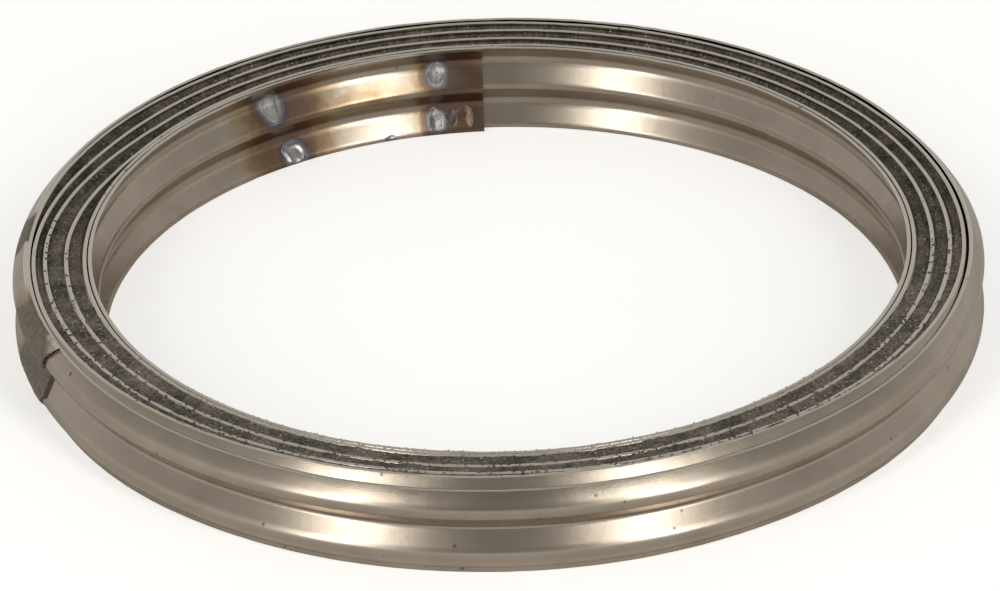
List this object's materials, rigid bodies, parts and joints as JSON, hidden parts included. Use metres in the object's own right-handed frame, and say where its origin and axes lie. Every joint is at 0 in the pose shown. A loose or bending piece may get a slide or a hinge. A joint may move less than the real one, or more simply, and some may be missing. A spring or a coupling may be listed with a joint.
{
  "type": "spiral wound exhaust gasket",
  "caption": "Ring gasket of two-lobed stainless strip wound in a spiral around a graphite ribbon, spot welded at both ends of the strip.",
  "frame": {"origin": "on the ring's axis, in the plane that its lower edges rest on, which is the bottom centre of its box", "axes": "+Z along the ring's axis, up from the lower to the upper sealing side; -X towards the torn outer end of the strip; the strip winds outwards anticlockwise seen from +Z"},
  "size_m": [0.0656, 0.0654, 0.0064],
  "materials": {
    "stainless_strip": "rolled stainless strip, satin, straw and blue heat tint beside the spot welds",
    "graphite": "matte dark grey graphite with a crumbly grain"
  },
  "bodies": {
    "root": {"winding_strip": "stainless_strip", "graphite_filler": "graphite"}
  },
  "joints": []
}
